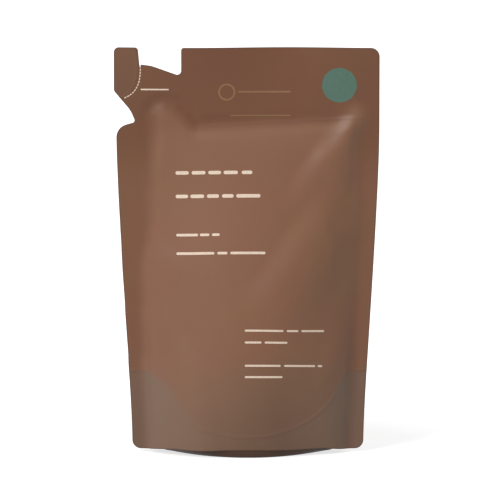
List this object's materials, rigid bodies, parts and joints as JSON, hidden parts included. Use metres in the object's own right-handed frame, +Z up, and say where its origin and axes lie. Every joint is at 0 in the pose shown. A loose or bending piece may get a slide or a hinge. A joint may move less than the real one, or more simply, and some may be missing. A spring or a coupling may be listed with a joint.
{
  "type": "liquid soap refill pack",
  "caption": "Sealed stand-up film pouch filled with liquid soap, with a bottom gusset and a tear-off corner spout.",
  "frame": {"origin": "on the ground, below the middle of the pack", "axes": "+Z up along the pack's height, +X across its width to the right as seen from the front, front panel towards -Y"},
  "size_m": [0.112, 0.0398, 0.1721],
  "materials": {
    "brown_film": "matt laminated plastic film, warm brown, a little translucent",
    "green_print": "grey green ink on the film",
    "cream_print": "cream ink on the film",
    "tan_print": "faint tan ink on the film"
  },
  "bodies": {
    "root": {"refill_pouch": "brown_film"}
  },
  "joints": []
}
